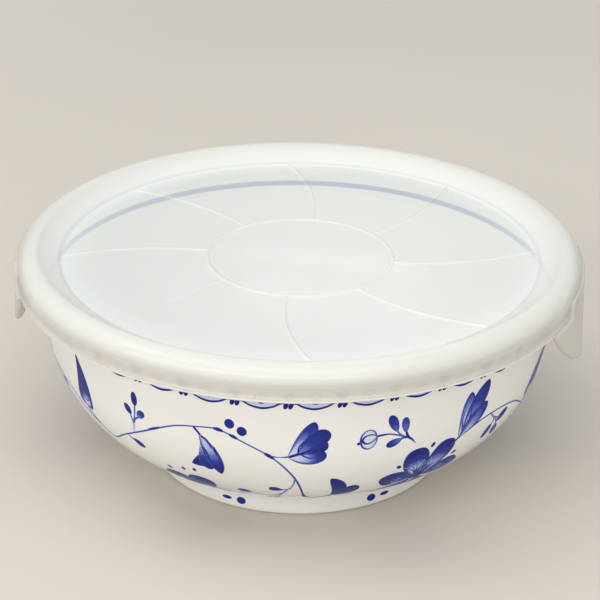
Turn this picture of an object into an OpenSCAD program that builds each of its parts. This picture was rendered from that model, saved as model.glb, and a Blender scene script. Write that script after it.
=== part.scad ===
// Round porcelain bowl with a soft snap-on plastic lid.
// Both pieces are revolved from profiles made of straight strips and tangent arcs.
// The origin is on the table, under the middle of the foot ring, with +Z up.

/* [Bowl] */
// Height of the bowl from the table to the top of its lip
bowl_h = 62; // [55:0.5:75]
// Outside diameter of the mouth, at the lip
mouth_d = 150.4; // [140:0.1:170]
// Lean of the upper wall, in degrees from upright
wall_lean = 13; // [8:0.5:18]
// Outside radius of the rounded belly
belly_r = 40.5; // [34:0.5:44]
// Thickness of the wall and the floor
wall_t = 3.2; // [2.4:0.1:4]

/* [Foot ring] */
// Outside diameter of the foot ring
foot_d = 84; // [78:0.5:94]
// Width of the foot ring
foot_w = 4.2; // [3.2:0.1:6]
// Height of the hollow under the bowl, inside the foot ring
foot_hollow_h = 5.4; // [4.5:0.1:8]
// Rounding of the foot ring's two lower edges
foot_edge_r = 1; // [0.5:0.1:1.5]
// Fillet between the foot ring and the bowl, outside and inside
foot_fillet_r = 1.4; // [0.8:0.1:2.4]

/* [Lid] */
// Thickness of the plastic
lid_t = 1.2; // [0.8:0.1:1.6]
// Space between the lip and the inside of the skirt
skirt_gap = 1.6; // [1.2:0.1:2.4]
// Gap between the top of the lip and the border of the lid that rests on it
seat_gap = 0.3; // [0.2:0.05:0.6]
// Gap between the lip and the snap bead inside the skirt
snap_clear = 0.4; // [0.3:0.05:0.8]
// Height of the lid from the lower end of its skirt to its top
lid_h = 8.4; // [7:0.1:12]
// Outside radius of the shoulder between the skirt and the crest of the border
shoulder_r = 4.3; // [3:0.1:5.5]
// How far the crest of the border reaches inwards past the middle of the lip
crest_reach = 0.2; // [0.2:0.1:6]
// Diameter of the bead along the lower end of the skirt
edge_bead_d = 1.9; // [1.4:0.1:2.6]

/* [Recessed panel] */
// Depth of the panel below the crest of the border
panel_drop = 4.3; // [3.5:0.1:6]
// Lean of the slope round the panel, in degrees from upright
recess_lean = 58; // [40:1:64]
// Rounding between the crest of the border and the slope
recess_edge_r = 2.5; // [1.6:0.1:4]
// Rounding of the corner where the slope meets the panel
recess_corner_r = 1; // [0.5:0.1:1.6]
// Diameter of the raised ring on the panel
ring_d = 51.5; // [36:0.5:70]
// Width of the raised ring
ring_w = 1.2; // [0.8:0.1:2]
// Number of ribs round the panel
rib_count = 8; // [5:1:12]
// Width of a rib
rib_w = 0.8; // [0.6:0.1:1.4]
// Height of the ring and the ribs above the panel
rib_h = 0.4; // [0.2:0.05:0.7]
// Radius of the curve that a rib follows
rib_curve_r = 69; // [60:1:120]
// Direction in which the first rib leaves the ring, in degrees from the first tab
rib_start = 0; // [-22:0.5:22]

/* [Pull tabs] */
// Number of tabs round the lid
tab_count = 2; // [1:1:3]
// Width of a tab where it leaves the skirt
tab_w = 64; // [40:1:80]
// How far a tab hangs below the skirt
tab_drop = 18; // [10:0.5:24]
// Thickness of a tab
tab_t = 1.5; // [1.1:0.1:2]
// How far a tab stands out from the skirt
tab_proud = 1; // [0.5:0.1:1.2]
// Width of the thicker pad where a tab is fixed to the skirt
pad_w = 39; // [24:1:60]
// Height of the pad above the lower end of the skirt
pad_rise = 4.5; // [2:0.1:5]
// Rounding of the pad's upper corners
pad_corner_r = 1.5; // [1:0.1:4]

/* [Hidden] */
$fn = 144;

// Longer than any ray needed to cut a sector out of a ring
far = 4 * mouth_d;
// Lap of a bend over the strip it meets, in degrees
bend_lap = 0.0001;

// Bowl: the middle of the wall runs along the floor, round the belly and up to the lip
mouth_r = mouth_d / 2;
belly_mid_r = belly_r - wall_t / 2;
lip = [mouth_r - wall_t / 2, bowl_h - wall_t / 2];
belly_z = foot_hollow_h + belly_r;
wall_len = (lip.y - belly_z + belly_mid_r * sin(wall_lean)) / cos(wall_lean);
wall_foot = lip - wall_len * [sin(wall_lean), cos(wall_lean)];
belly = wall_foot - belly_mid_r * heading(-wall_lean);
floor_z = foot_hollow_h + wall_t / 2;

// Foot ring: it grows out of the middle of the wall, and its fillets run a little way into the wall
fillet_bite = 0.05;
foot_r = foot_d / 2;
foot_inner_r = foot_r - foot_w;
foot_mid_r = foot_r - foot_w / 2;
foot_root_z = belly.y - sqrt(pow(belly_mid_r, 2) - pow(max(foot_mid_r - belly.x, 0), 2));
fillet_reach = belly_r + foot_fillet_r - fillet_bite;
outer_fillet_x = foot_r + foot_fillet_r;
outer_fillet = [
    outer_fillet_x,
    belly.y - sqrt(pow(fillet_reach, 2) - pow(outer_fillet_x - belly.x, 2))
];
outer_fillet_end = atan2(belly.y - outer_fillet.y, belly.x - outer_fillet.x);
inner_fillet_x = foot_inner_r - foot_fillet_r;
inner_fillet_z = inner_fillet_x < belly.x
    ? foot_hollow_h - foot_fillet_r + fillet_bite
    : belly.y - sqrt(pow(fillet_reach, 2) - pow(inner_fillet_x - belly.x, 2));
inner_fillet = [inner_fillet_x, inner_fillet_z];
inner_fillet_end = atan2(belly.y - inner_fillet.y, min(belly.x - inner_fillet.x, 0));
arc_steps = 6;

// Lid: it closes over the lip with the stated gaps
lid_r = mouth_r + skirt_gap + lid_t;
lid_top = bowl_h + seat_gap + lid_t;
skirt_z = lid_top - lid_h;
skirt_mid_r = lid_r - lid_t / 2;
shoulder = [lid_r - shoulder_r, lid_top - shoulder_r];
crest_z = lid_top - lid_t / 2;
recess_edge = [min(lip.x, shoulder.x) - crest_reach, lid_top - recess_edge_r];
panel_z = lid_top - panel_drop;
panel_mid_z = panel_z - lid_t / 2;
slope_top = recess_edge + (recess_edge_r - lid_t / 2) * heading(180 - recess_lean);
recess_corner_mid_r = recess_corner_r + lid_t / 2;
recess_corner_z = panel_z + recess_corner_r;
slope_z = recess_corner_z - recess_corner_mid_r * sin(recess_lean);
slope_len = (slope_top.y - slope_z) / cos(recess_lean);
slope_foot = slope_top - slope_len * [sin(recess_lean), cos(recess_lean)];
recess_corner = slope_foot - recess_corner_mid_r * heading(-recess_lean);
snap_bead_r = skirt_gap - snap_clear;
snap_z = skirt_z + edge_bead_d / 2 + snap_bead_r;

// Ribs: each leaves the ring square to it and runs into the slope until it is buried
ring_r = ring_d / 2;
rib_end_r = slope_foot.x + rib_h * tan(recess_lean) / 2;
rib_reach = norm([ring_r, rib_curve_r]);
rib_lift = (pow(rib_end_r, 2) - pow(ring_r, 2)) / (2 * rib_curve_r) - rib_curve_r;
rib_sweep = atan2(rib_curve_r, ring_r) + asin(rib_lift / rib_reach);

// Tabs: a tongue with a round end, on a thicker pad that follows the skirt
tab_outer_r = lid_r + tab_proud;
tab_inner_r = tab_outer_r - tab_t;
tab_end_r = (pow(tab_w / 2, 2) + pow(tab_drop, 2)) / (2 * tab_drop);
tab_end_z = skirt_z - tab_drop + tab_end_r;
pad_top = skirt_z + pad_rise;

// Unit vector at an angle in degrees
function heading(angle) = [cos(angle), sin(angle)];

// Points along a small arc round a centre
function arc(centre, r, from, to) =
    [for (i = [0 : arc_steps]) centre + r * heading(from + (to - from) * i / arc_steps)];

// Straight strip of thickness t along the line from p to q
module strip(p, q, t) {
    side = t / 2 * [p.y - q.y, q.x - p.x] / norm(q - p);
    polygon([p + side, p - side, q - side, q + side]);
}

// Bent strip of thickness t round a centre, along radius r between two angles.
// Both ends run on by the lap, so that a bend always joins the strips it meets.
module bend(centre, r, t, from, to) {
    intersection() {
        translate(centre) difference() {
            circle(r + t / 2);
            circle(r - t / 2);
        }
        polygon([
            centre,
            centre + far * heading(from - bend_lap),
            centre + far * heading((from + to) / 2),
            centre + far * heading(to + bend_lap)
        ]);
    }
}

// Foot ring with rounded lower edges, filleted into the underside of the bowl
module foot_profile() {
    polygon(concat(
        [[foot_inner_r, foot_root_z]],
        arc(inner_fillet, foot_fillet_r, inner_fillet_end, 0),
        arc([foot_inner_r + foot_edge_r, foot_edge_r], foot_edge_r, 180, 270),
        arc([foot_r - foot_edge_r, foot_edge_r], foot_edge_r, 270, 360),
        arc(outer_fillet, foot_fillet_r, 180, outer_fillet_end),
        [[foot_r, foot_root_z]]
    ));
}

// Half section of the bowl
module bowl_profile() {
    strip([0, floor_z], [belly.x, floor_z], wall_t);
    bend(belly, belly_mid_r, wall_t, -90, -wall_lean);
    strip(wall_foot, lip, wall_t);
    translate(lip) circle(wall_t / 2);
    foot_profile();
}

// Half section of the lid, with the beads that run all round it
module lid_profile() {
    strip([skirt_mid_r, skirt_z], [skirt_mid_r, shoulder.y], lid_t);
    bend(shoulder, shoulder_r - lid_t / 2, lid_t, 0, 90);
    strip([shoulder.x, crest_z], [recess_edge.x, crest_z], lid_t);
    bend(recess_edge, recess_edge_r - lid_t / 2, lid_t, 90, 180 - recess_lean);
    strip(slope_top, slope_foot, lid_t);
    bend(recess_corner, recess_corner_mid_r, lid_t, -90, -recess_lean);
    strip([0, panel_mid_z], [recess_corner.x, panel_mid_z], lid_t);
    translate([skirt_mid_r, skirt_z]) circle(edge_bead_d / 2);
    intersection() {
        translate([lid_r - lid_t, snap_z]) circle(snap_bead_r);
        translate([0, skirt_z]) square([skirt_mid_r, lid_h]);
    }
}

// Raised lines on the panel: a ring, and ribs that curve outwards from it to the edge
module swirl() {
    difference() {
        circle(ring_r + ring_w / 2);
        circle(ring_r - ring_w / 2);
    }
    for (i = [0 : rib_count - 1]) rotate(rib_start + i * 360 / rib_count)
        bend([ring_r, rib_curve_r], rib_curve_r, rib_w, -90, rib_sweep - 90);
}

// Outline of a tab seen from outside: tongue below the skirt, pad above its lower end
module tab_outline() {
    pad_shoulder = pad_w / 2 - pad_corner_r;
    intersection() {
        translate([0, tab_end_z]) circle(tab_end_r);
        translate([-tab_w, skirt_z - 2 * tab_drop]) square([2 * tab_w, 2 * tab_drop]);
    }
    translate([-pad_w / 2, skirt_z - edge_bead_d]) square([pad_w, edge_bead_d + pad_rise - pad_corner_r]);
    translate([-pad_shoulder, skirt_z]) square([2 * pad_shoulder, pad_rise]);
    for (side = [-1, 1]) translate([side * pad_shoulder, pad_top - pad_corner_r]) circle(pad_corner_r);
}

// One tab on the +X side, bent to the round of the skirt
module tab() {
    intersection() {
        difference() {
            cylinder(r = tab_outer_r, h = lid_top);
            translate([0, 0, -1]) cylinder(r = tab_inner_r, h = lid_top + 2);
        }
        rotate([90, 0, 90]) linear_extrude(2 * tab_outer_r) tab_outline();
    }
}

module bowl() {
    color([0.93, 0.92, 0.88]) rotate_extrude() bowl_profile();
}

module lid() {
    color([0.89, 0.90, 0.86, 0.8]) union() {
        rotate_extrude() lid_profile();
        translate([0, 0, panel_mid_z]) linear_extrude(lid_t / 2 + rib_h) swirl();
        for (i = [0 : tab_count - 1]) rotate(i * 360 / tab_count) tab();
    }
}

bowl();
lid();
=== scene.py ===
"""Looks of the lidded bowl: glazed porcelain, blue brush painting and a frosted lid.

Sizes are in millimetres. Names that end in _M, lamps and material nodes are in metres.
Azimuths are in degrees about +Z from +X. The pull tabs are at azimuths 0 and 180.
"""

import math

import bpy
import numpy as np
from mathutils import Matrix, Vector


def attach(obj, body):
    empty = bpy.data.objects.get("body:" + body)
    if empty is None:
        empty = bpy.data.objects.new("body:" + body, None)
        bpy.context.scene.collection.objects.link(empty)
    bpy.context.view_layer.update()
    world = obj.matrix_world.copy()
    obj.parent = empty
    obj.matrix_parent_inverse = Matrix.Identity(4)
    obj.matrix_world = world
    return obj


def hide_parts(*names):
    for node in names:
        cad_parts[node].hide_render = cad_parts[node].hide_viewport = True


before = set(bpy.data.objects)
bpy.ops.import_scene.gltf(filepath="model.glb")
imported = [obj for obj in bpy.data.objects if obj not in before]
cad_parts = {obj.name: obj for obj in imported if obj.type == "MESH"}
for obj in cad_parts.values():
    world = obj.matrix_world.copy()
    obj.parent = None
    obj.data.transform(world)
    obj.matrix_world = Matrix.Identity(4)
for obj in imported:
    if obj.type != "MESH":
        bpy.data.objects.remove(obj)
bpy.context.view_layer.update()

MM = 0.001


# Sizes of the bowl, as in the part's source

BOWL_H = 62.0
MOUTH_R = 75.2
WALL_T = 3.2
WALL_LEAN = 13.0
BELLY_R = 40.5
FOOT_R = 42.0
FOOT_W = 4.2
FOOT_HOLLOW_H = 5.4
FOOT_EDGE_R = 1.0
FOOT_FILLET_R = 1.4


def heading(angle):
    """Unit vector at an angle in degrees."""
    return np.array([math.cos(math.radians(angle)), math.sin(math.radians(angle))])


# LIP and BELLY are the middles of the lip's and the belly's arcs. The wall meets the belly at WALL_END.
WALL_UP = heading(90 - WALL_LEAN)
WALL_OUT = heading(-WALL_LEAN)
LIP = np.array([MOUTH_R - WALL_T / 2, BOWL_H - WALL_T / 2])
INNER_LIP = LIP - WALL_T / 2 * WALL_OUT
OUTER_LIP = LIP + WALL_T / 2 * WALL_OUT
BELLY_Z = FOOT_HOLLOW_H + BELLY_R
BELLY_MID_R = BELLY_R - WALL_T / 2
WALL_LEN = (LIP[1] - BELLY_Z - BELLY_MID_R * WALL_OUT[1]) / WALL_UP[1]
BELLY = LIP - WALL_LEN * WALL_UP - BELLY_MID_R * WALL_OUT
WALL_END = BELLY + BELLY_R * WALL_OUT

# Sizes of the lid, as in the part's source

LID_T = 1.2
LID_R = 78.0
LID_TOP = 63.5
SKIRT_Z = 55.1
SHOULDER_R = 4.3
CREST_REACH = 0.2
EDGE_BEAD_R = 0.95
SNAP_BEAD_R = 1.2
SNAP_Z = 57.25
PANEL_Z = 59.2
RECESS_LEAN = 58.0
RECESS_EDGE_R = 2.5
RECESS_CORNER_R = 1.0
RING_R = 25.75
RIB_COUNT = 8
RIB_H = 0.4
RIB_CURVE_R = 69.0
RIB_START = 0.0
TAB_W = 64.0
TAB_DROP = 18.0
TAB_T = 1.5
TAB_PROUD = 1.0
PAD_W = 39.0
PAD_RISE = 4.5
PAD_CORNER_R = 1.5
TAB_AZIMUTHS = (0.0, 180.0)

# Middles of the arcs of the shoulder and of the slope's upper bend
SHOULDER = np.array([LID_R - SHOULDER_R, LID_TOP - SHOULDER_R])
RECESS_EDGE = np.array([min(LIP[0], SHOULDER[0]) - CREST_REACH, LID_TOP - RECESS_EDGE_R])


def slope_run():
    """How far the slope reaches inwards from the middle of its upper bend to the panel."""
    along, across = heading(RECESS_LEAN)
    bends = RECESS_EDGE_R + RECESS_CORNER_R
    drop = LID_TOP - PANEL_Z - bends * (1 - across)
    return bends * along + drop * across / along


PANEL_R = RECESS_EDGE[0] - slope_run()


# Mesh helpers

def arc(centre, radius, start, end, steps):
    """Points along an arc between two angles in degrees."""
    angles = np.linspace(start, end, steps + 1)
    return [np.asarray(centre) + radius * heading(a) for a in angles]


def line(start, end, steps):
    """Points along a straight line, without its two ends."""
    t = np.linspace(0, 1, steps + 1)[1:-1]
    return [np.asarray(start) + (np.asarray(end) - np.asarray(start)) * k for k in t]


def make_mesh(name, verts, faces, values=None):
    """Smooth mesh object from places in millimetres, with named values for each vertex if given."""
    mesh = bpy.data.meshes.new(name)
    mesh.from_pydata((np.asarray(verts, float) * MM).tolist(), [], faces)
    for key, numbers in (values or {}).items():
        layer = mesh.attributes.new(key, "FLOAT", "POINT")
        layer.data.foreach_set("value", np.asarray(numbers, np.float32))
    mesh.validate()
    mesh.shade_smooth()
    obj = bpy.data.objects.new(name, mesh)
    bpy.context.scene.collection.objects.link(obj)
    return obj


def pole_grid(rows, first, last):
    """Vertices and faces of a closed skin: a pole, rings of equal length, and a pole."""
    count = len(rows[0])
    verts = [first]
    for ring in rows:
        verts.extend(ring)
    verts.append(last)
    faces = []
    for j in range(count):
        k = (j + 1) % count
        faces.append((0, 1 + j, 1 + k))
    for i in range(len(rows) - 1):
        a = 1 + i * count
        b = a + count
        for j in range(count):
            k = (j + 1) % count
            faces.append((a + j, b + j, b + k, a + k))
    a = 1 + (len(rows) - 1) * count
    end = len(verts) - 1
    for j in range(count):
        k = (j + 1) % count
        faces.append((a + j, end, a + k))
    return verts, faces


# Bowl

BOWL_SEGMENTS = 288
INSIDE_FLOOR_Z = FOOT_HOLLOW_H + WALL_T


def foot_fillet(x):
    """Middle of the fillet at radius x under the belly, and the angle at which it meets the belly."""
    reach = BELLY_R + FOOT_FILLET_R
    centre = np.array([x, BELLY[1] - math.sqrt(reach ** 2 - (x - BELLY[0]) ** 2)])
    across, up = BELLY - centre
    return centre, math.degrees(math.atan2(up, across))


def wall_section(foot_angle):
    """Half section of the wall: over the inside floor, up, round the lip and down to the foot ring."""
    inner_r = BELLY_R - WALL_T
    points = line((0, INSIDE_FLOOR_Z), (BELLY[0], INSIDE_FLOOR_Z), 12)
    points += arc(BELLY, inner_r, -90, -WALL_LEAN, 44)
    points += line(BELLY + inner_r * WALL_OUT, INNER_LIP, 16)
    points += arc(LIP, WALL_T / 2, 180 - WALL_LEAN, -WALL_LEAN, 18)
    points += line(OUTER_LIP, WALL_END, 18)
    points += arc(BELLY, BELLY_R, -WALL_LEAN, foot_angle, 36)
    return points


def bowl_section():
    """Half section of the bowl from the middle of its inside floor to the middle underneath."""
    outer_fillet, outer_turn = foot_fillet(FOOT_R + FOOT_FILLET_R)
    inner_fillet, inner_turn = foot_fillet(FOOT_R - FOOT_W - FOOT_FILLET_R)
    outer_edge = np.array([FOOT_R - FOOT_EDGE_R, FOOT_EDGE_R])
    inner_edge = np.array([FOOT_R - FOOT_W + FOOT_EDGE_R, FOOT_EDGE_R])
    points = wall_section(outer_turn - 180)
    points += arc(outer_fillet, FOOT_FILLET_R, outer_turn, 180, 8)[1:]
    points += line((FOOT_R, outer_fillet[1]), (FOOT_R, FOOT_EDGE_R), 5)
    points += arc(outer_edge, FOOT_EDGE_R, 0, -90, 8)
    points += line(outer_edge - (0, FOOT_EDGE_R), inner_edge - (0, FOOT_EDGE_R), 4)
    points += arc(inner_edge, FOOT_EDGE_R, -90, -180, 8)
    points += arc(inner_fillet, FOOT_FILLET_R, 0, inner_turn, 8)
    points += arc(BELLY, BELLY_R, inner_turn - 180, -90, 4)[1:]
    points += line((BELLY[0], FOOT_HOLLOW_H), (0, FOOT_HOLLOW_H), 10)
    return points


def build_bowl():
    """Porcelain body of the bowl as one closed turned skin."""
    angles = np.linspace(0, 2 * math.pi, BOWL_SEGMENTS, endpoint=False)
    rows = []
    for r, z in bowl_section():
        rows.append([(r * math.cos(a), r * math.sin(a), z) for a in angles])
    verts, faces = pole_grid(rows, (0, 0, INSIDE_FLOOR_Z), (0, 0, FOOT_HOLLOW_H))
    return make_mesh("bowl_body", verts, faces)


# Lid

# Mesh places across a rib and the raised ring, the way left clear at the ring, columns between ribs
RIB_SIDES = (-1.0, -0.75, -0.55, -0.36, -0.18, 0.0, 0.18, 0.36, 0.55, 0.75, 1.0)
RING_SIDES = (-0.85, -0.66, -0.48, -0.3, -0.15, 0, 0.15, 0.3, 0.48, 0.66, 0.85)
RING_CLEAR = 1.1
RIB_GAP_COLUMNS = 24

# Points along a rib's arc, and the angle in radians that the last of them has turned by
RIB_PATH_STEPS = 140
RIB_PATH_TURN = 0.7

# Half widths of the rounded rib and ring, and how near to the ring a rib starts and to the slope it ends
RIB_HALF = 0.7
RING_HALF = 0.75
RIB_START_HALF = 0.3
RIB_END_W = 0.1
RIB_END_H = 0.05

# How far the soft panel hangs at its middle
PANEL_SAG = 1.0

# Milkiness: how much of what is behind it each surface of the lid hides
PANEL_HAZE = 0.45
RIB_HAZE = 0.48
UNDER_HAZE = 0.06
EDGE_HAZE = 0.62
CREST_HAZE = 0.66
SKIRT_HAZE = 0.62
# The bead's painted highlight line is also made more opaque.
BEAD_HIGHLIGHT_HAZE = 0.86
TAB_HAZE = 0.64

# Places of the lid's parts on the plastic's colour ramp, which carries painted light and shade: the panel
# painted lighter, the skirt painted darker, the bead's painted highlight
PANEL_LIT_TINT = 0.0
CREST_TINT = 0.4
SKIRT_SHADE_TINT = 0.7
BEAD_HIGHLIGHT_TINT = 1.0

# Painted highlight line along the edge bead, and the ways over which milkiness and painted light and shade
# change
BEAD_HIGHLIGHT_Z = SKIRT_Z - 0.35
BEAD_HIGHLIGHT_HALF = 0.6
EDGE_FADE_W = 14.0
HAZE_FADE_W = 1.6
SLOPE_LIGHT_FADE_W = 6.0
SKIRT_FADE_H = 5.8
SKIRT_FADE_POWER = 4


def rib_path():
    """Radius, polar angle and tilt from the radial direction along a rib, as three arrays."""
    turn = np.linspace(0, RIB_PATH_TURN, RIB_PATH_STEPS + 1)
    x = RING_R + RIB_CURVE_R * np.sin(turn)
    y = RIB_CURVE_R * (1 - np.cos(turn))
    angle = np.arctan2(y, x)
    return np.hypot(x, y), angle, turn - angle


RIB_RADII, RIB_ANGLES, RIB_TILTS = rib_path()


def column_angles(radius):
    """Azimuths in radians of the lid's mesh columns at a radius. They follow the ribs."""
    r = min(max(radius, RING_R), PANEL_R)
    swing = np.interp(r, RIB_RADII, RIB_ANGLES)
    tilt = np.interp(r, RIB_RADII, RIB_TILTS)
    sides = np.array(RIB_SIDES) / (r * math.cos(tilt))
    step = 2 * math.pi / RIB_COUNT
    angles = []
    for i in range(RIB_COUNT):
        base = math.radians(RIB_START) + i * step + swing
        gap_start = base + sides[-1]
        gap_end = base + step + sides[0]
        angles.extend(base + sides)
        gap = np.linspace(gap_start, gap_end, RIB_GAP_COLUMNS + 2)
        angles.extend(gap[1:-1])
    return np.array(angles)


def bump(x):
    """Rounded ridge of height 1 between -1 and 1."""
    x = np.clip(np.abs(x), 0, 1)
    return np.cos(x * math.pi / 2) ** 1.5


def column_ribs():
    """Height of a rib at each mesh column, from 0 between ribs to 1 along their middles."""
    ridge = bump(np.array(RIB_SIDES) / RIB_HALF)
    flat = np.zeros(RIB_GAP_COLUMNS)
    return np.tile(np.concatenate([ridge, flat]), RIB_COUNT)


def lid_section():
    """Half section of the lid past its panel: up the slope, down the skirt and back inside."""
    corner = np.array([PANEL_R, PANEL_Z + RECESS_CORNER_R])
    bead = np.array([LID_R - LID_T / 2, SKIRT_Z])
    bead_cut = math.degrees(math.acos(LID_T / 2 / EDGE_BEAD_R))
    snap = np.array([LID_R - LID_T, SNAP_Z])
    points = arc(corner, RECESS_CORNER_R, -90, -RECESS_LEAN, 6)
    points += line(points[-1], RECESS_EDGE + RECESS_EDGE_R * heading(180 - RECESS_LEAN), 8)
    points += arc(RECESS_EDGE, RECESS_EDGE_R, 180 - RECESS_LEAN, 90, 10)
    points += arc(SHOULDER, SHOULDER_R, 90, 0, 18)
    points += line(points[-1], bead + EDGE_BEAD_R * heading(bead_cut), 5)
    points += arc(bead, EDGE_BEAD_R, bead_cut, -180 - bead_cut, 22)
    points += arc(snap, SNAP_BEAD_R, -90, -270, 12)
    points += arc(SHOULDER, SHOULDER_R - LID_T, 0, 90, 14)
    points += arc(RECESS_EDGE, RECESS_EDGE_R - LID_T, 90, 180 - RECESS_LEAN, 6)
    points += line(points[-1], corner + (RECESS_CORNER_R + LID_T) * heading(-RECESS_LEAN), 6)
    points += arc(corner, RECESS_CORNER_R + LID_T, -RECESS_LEAN, -90, 6)
    points += line((PANEL_R, PANEL_Z - LID_T), (0, PANEL_Z - LID_T), 10)
    return points


def panel_radii():
    """Radii of the panel's mesh rings, close together across the raised ring."""
    inner = np.linspace(0, RING_R - RING_CLEAR, 11)[1:]
    across = RING_R + np.array(RING_SIDES)
    outer = np.linspace(RING_R + RING_CLEAR, PANEL_R, 36)[:-1]
    return np.concatenate([inner, across, outer])


def panel_sag(r):
    """How far the soft panel hangs below its edge at a radius."""
    return PANEL_SAG * max(1 - (r / PANEL_R) ** 2, 0)


def ring_points(radius, heights):
    """One ring of the lid's mesh, following the swirl of the ribs."""
    angles = column_angles(radius)
    return list(zip(radius * np.cos(angles), radius * np.sin(angles), heights))


def border_value(r, z, fade_w, panel, crest, skirt):
    """Value at a point of the border.

    It goes from the panel's to the crest's over a width from the foot of the slope, and on to the
    skirt's on the way down outside.
    """
    slope = float(np.clip((r - PANEL_R) / fade_w, 0, 1))
    fall = float(np.clip((LID_TOP - z) / SKIRT_FADE_H, 0, 1)) if r > SHOULDER[0] else 0.0
    return panel + (crest - panel) * slope + (skirt - crest) * fall ** SKIRT_FADE_POWER


def panel_rows(ribs):
    """Mesh rings of the panel's top from its middle outwards, with their milkiness and painted light and
    shade.
    """
    rows = []
    haze = []
    light_and_shade = []
    for r in panel_radii():
        ring = bump((r - RING_R) / RING_HALF)
        start = float(np.clip((r - RING_R + RIB_START_HALF) / (2 * RIB_START_HALF), 0, 1))
        raised = np.maximum(ring, ribs * start)
        edge = float(np.clip((r - PANEL_R) / EDGE_FADE_W + 1, 0, 1)) ** 2
        milky = PANEL_HAZE + (EDGE_HAZE - PANEL_HAZE) * edge
        rows.append(ring_points(r, PANEL_Z - panel_sag(r) + RIB_H * raised))
        haze.append(milky + (RIB_HAZE - PANEL_HAZE) * raised)
        # The panel is painted lighter than the rest of the lid.
        light_and_shade.append(np.full(len(ribs), PANEL_LIT_TINT))
    return rows, haze, light_and_shade


def border_rows(ribs):
    """The same over the border, round the skirt and back under the panel to its middle."""
    rows = []
    haze = []
    light_and_shade = []
    for r, z in lid_section():
        rib_end = r < PANEL_R + RIB_END_W and abs(z - PANEL_Z) < RIB_END_H
        raised = ribs if rib_end else 0 * ribs
        outside = r > LID_R - LID_T / 2
        # Painted highlight: a bright, more opaque line along the outside of the edge bead.
        painted_highlight = float(bump((z - BEAD_HIGHLIGHT_Z) / BEAD_HIGHLIGHT_HALF)) if outside else 0.0
        foot_haze = UNDER_HAZE if z < PANEL_Z - LID_T / 2 else EDGE_HAZE
        milky = border_value(r, z, HAZE_FADE_W, foot_haze, CREST_HAZE, SKIRT_HAZE)
        # Painted shade and light: a thin dark crease line at the foot of the slope, the slope painted
        # lighter, the skirt painted darker below the crest.
        shade = border_value(r, z, SLOPE_LIGHT_FADE_W, PANEL_LIT_TINT, CREST_TINT, SKIRT_SHADE_TINT)
        rows.append(ring_points(r, z - panel_sag(r) + RIB_H * raised))
        haze.append(np.full(len(ribs), milky + (BEAD_HIGHLIGHT_HAZE - SKIRT_HAZE) * painted_highlight))
        light_and_shade.append(np.full(len(ribs), shade + (BEAD_HIGHLIGHT_TINT - SKIRT_SHADE_TINT) * painted_highlight))
    return rows, haze, light_and_shade


def build_lid_shell():
    """Vertices, faces, milkiness and painted light and shade of the moulded lid without its tabs."""
    ribs = column_ribs()
    panel, panel_haze, panel_light_and_shade = panel_rows(ribs)
    border, border_haze, border_light_and_shade = border_rows(ribs)
    haze = [[PANEL_HAZE], *panel_haze, *border_haze, [UNDER_HAZE]]
    light_and_shade = [[PANEL_LIT_TINT], *panel_light_and_shade, *border_light_and_shade, [PANEL_LIT_TINT]]
    middle = PANEL_Z - PANEL_SAG
    verts, faces = pole_grid(panel + border, (0, 0, middle), (0, 0, middle - LID_T))
    return verts, faces, np.concatenate(haze), np.concatenate(light_and_shade)


# Mesh columns of a tab, and its mesh rows as parts of its height, closer together at its ends
TAB_COLUMNS = 96
TAB_ROWS = (0, 0.02, 0.06, 0.13, 0.24, 0.4, 0.6, 0.76, 0.87, 0.94, 0.98, 1)
TAB_EDGE_R = 0.7
TAB_FLARE = 0.8
PAD_FLANK_W = 0.5


def tab_top(y):
    """Height of the upper end of a tab at a place across it: the pad, and the skirt beside it."""
    y = abs(y)
    shoulder = PAD_W / 2 - PAD_CORNER_R
    top = SKIRT_Z + PAD_RISE
    if y <= shoulder:
        return top
    if y < PAD_W / 2:
        return top - PAD_CORNER_R + math.sqrt(PAD_CORNER_R ** 2 - (y - shoulder) ** 2)
    slope = min((y - PAD_W / 2) / PAD_FLANK_W, 1)
    return top - PAD_CORNER_R + (SKIRT_Z - top + PAD_CORNER_R) * slope


def tab_bottom(y):
    """Height of the round lower end of a tab at a place across it."""
    end_r = (TAB_W ** 2 / 4 + TAB_DROP ** 2) / (2 * TAB_DROP)
    return SKIRT_Z - TAB_DROP + end_r - math.sqrt(end_r ** 2 - y ** 2)


def build_tab(azimuth):
    """Vertices and faces of one pull tab: a rounded tongue on the skirt that flares at its end."""
    half = TAB_W / 2
    turn = np.linspace(-1, 1, TAB_COLUMNS + 1)
    ys = half * np.sin(turn * math.pi / 2)
    mid_r = LID_R + TAB_PROUD - TAB_T / 2
    outer = []
    inner = []
    for y in ys:
        low = tab_bottom(y)
        high = max(tab_top(y), low)
        for k in TAB_ROWS:
            z = low + (high - low) * k
            rim = min(half - abs(y), z - low, high - z)
            fade = min(rim / TAB_EDGE_R, 1)
            thick = TAB_T / 2 * math.sqrt(max(1 - (1 - fade) ** 2, 0))
            middle = mid_r + TAB_FLARE * max(SKIRT_Z - z, 0) / TAB_DROP
            outer.append(tab_point(middle + thick, y, z, azimuth))
            inner.append(tab_point(middle - thick, y, z, azimuth))
    return sheet_pair(outer, inner, len(ys), len(TAB_ROWS))


def tab_point(radius, y, z, azimuth):
    """Place on a tab at a radius, from its place across the tab and its height."""
    angle = math.asin(y / radius) + math.radians(azimuth)
    return (radius * math.cos(angle), radius * math.sin(angle), z)


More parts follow.
